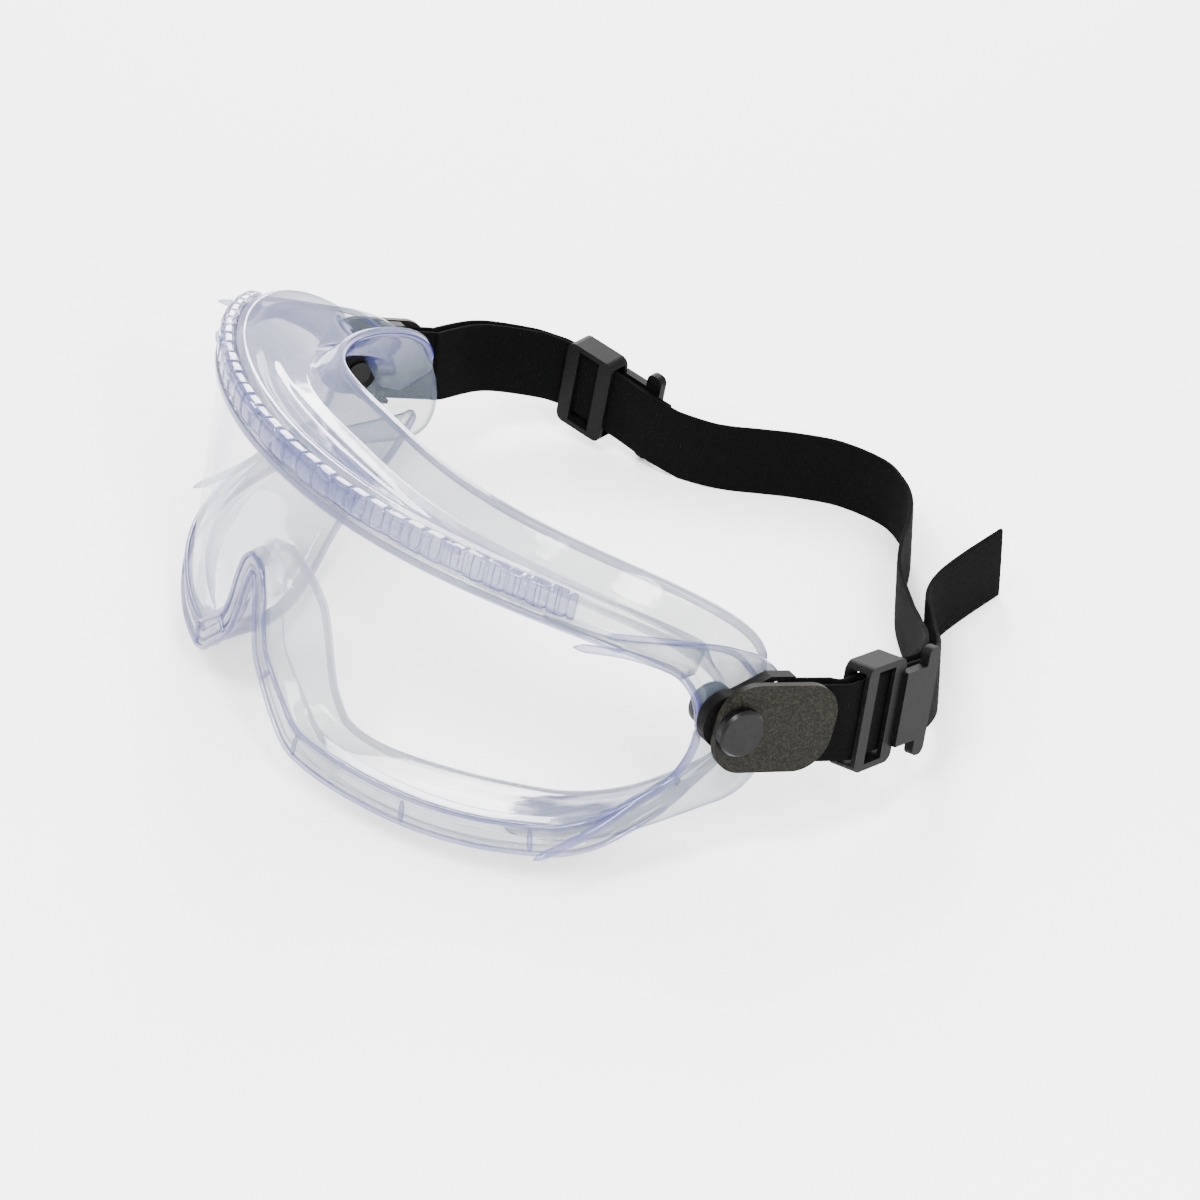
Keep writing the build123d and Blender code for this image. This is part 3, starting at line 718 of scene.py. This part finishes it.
class GOGGLES_OT_stage(bpy.types.Operator):
    """Camera, pale floor and soft light"""
    bl_idname = "goggles.stage"
    bl_label = "Stage"

    def execute(self, context):
        s = context.scene.goggles_stage
        m, shader, put, links = new_material("pale_floor")
        shader.inputs["Base Color"].default_value = (0.93, 0.93, 0.93, 1)
        shader.inputs["Roughness"].default_value = 0.9
        mesh = bpy.data.meshes.new("floor")
        r = FLOOR_REACH
        mesh.from_pydata([(-r, -r, 0), (r, -r, 0), (r, r, 0), (-r, r, 0)], [], [(0, 1, 2, 3)])
        floor = bpy.data.objects.new("floor", mesh)
        mesh.materials.append(m)
        context.scene.collection.objects.link(floor)
        world = bpy.data.worlds.new("even_sky")
        context.scene.world = world
        world.use_nodes = True
        world.node_tree.nodes["Background"].inputs["Color"].default_value = (1, 1, 1, 1)
        world.node_tree.nodes["Background"].inputs["Strength"].default_value = s.sky
        for name, place, wide, long in LAMPS:
            lamp = bpy.data.lights.new(name, "AREA")
            lamp.shape = "RECTANGLE"
            lamp.energy, lamp.size, lamp.size_y = s.key, wide, long
            light = bpy.data.objects.new(name, lamp)
            light.location = place
            light.rotation_euler = Vector(place).to_track_quat("Z", "Y").to_euler()
            context.scene.collection.objects.link(light)
        turn, rise = math.radians(s.camera_turn), math.radians(s.camera_rise)
        back = Vector((math.sin(turn) * math.cos(rise), -math.cos(turn) * math.cos(rise), math.sin(rise)))
        right = Vector((math.cos(turn), math.sin(turn), 0))
        above = back.cross(right)
        data = bpy.data.cameras.new("camera")
        data.lens = s.camera_lens
        data.clip_start = 0.01
        camera = bpy.data.objects.new("camera", data)
        at = Vector(LOOK_AT) + back * s.camera_distance
        camera.matrix_world = Matrix(((right.x, above.x, back.x, at.x), (right.y, above.y, back.y, at.y),
                                      (right.z, above.z, back.z, at.z), (0, 0, 0, 1)))
        context.scene.collection.objects.link(camera)
        context.scene.camera = camera
        return {"FINISHED"}


class GOGGLES_PT_panel(bpy.types.Panel):
    """Sizes of the goggles and a button for each piece"""
    bl_label = "Safety goggles"
    bl_idname = "GOGGLES_PT_panel"
    bl_space_type = "VIEW_3D"
    bl_region_type = "UI"
    bl_category = "Goggles"

    def draw(self, context):
        for group in (context.scene.goggles_shape, context.scene.headband_shape, context.scene.goggles_stage):
            for name in group.bl_rna.properties.keys():
                if name not in ("rna_type", "name"):
                    self.layout.prop(group, name)
        for op in OPERATORS:
            self.layout.operator(op.bl_idname)


OPERATORS = (GOGGLES_OT_moulding, GOGGLES_OT_lens, GOGGLES_OT_vent_band, GOGGLES_OT_pivots,
             GOGGLES_OT_headband, GOGGLES_OT_stage)
GROUPS = (GogglesShape, HeadbandShape, StageSettings)


def register():
    for c in GROUPS + OPERATORS + (GOGGLES_PT_panel,):
        bpy.utils.register_class(c)
    bpy.types.Scene.goggles_shape = bpy.props.PointerProperty(type=GogglesShape)
    bpy.types.Scene.headband_shape = bpy.props.PointerProperty(type=HeadbandShape)
    bpy.types.Scene.goggles_stage = bpy.props.PointerProperty(type=StageSettings)


def unregister():
    del bpy.types.Scene.goggles_shape, bpy.types.Scene.headband_shape, bpy.types.Scene.goggles_stage
    for c in reversed(GROUPS + OPERATORS + (GOGGLES_PT_panel,)):
        bpy.utils.unregister_class(c)


def main():
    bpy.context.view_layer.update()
    register()
    bpy.ops.goggles.moulding()
    bpy.ops.goggles.lens()
    bpy.ops.goggles.vent_band()
    bpy.ops.goggles.pivots()
    bpy.ops.goggles.headband()
    bpy.ops.goggles.stage()


if __name__ == "__main__":
    main()
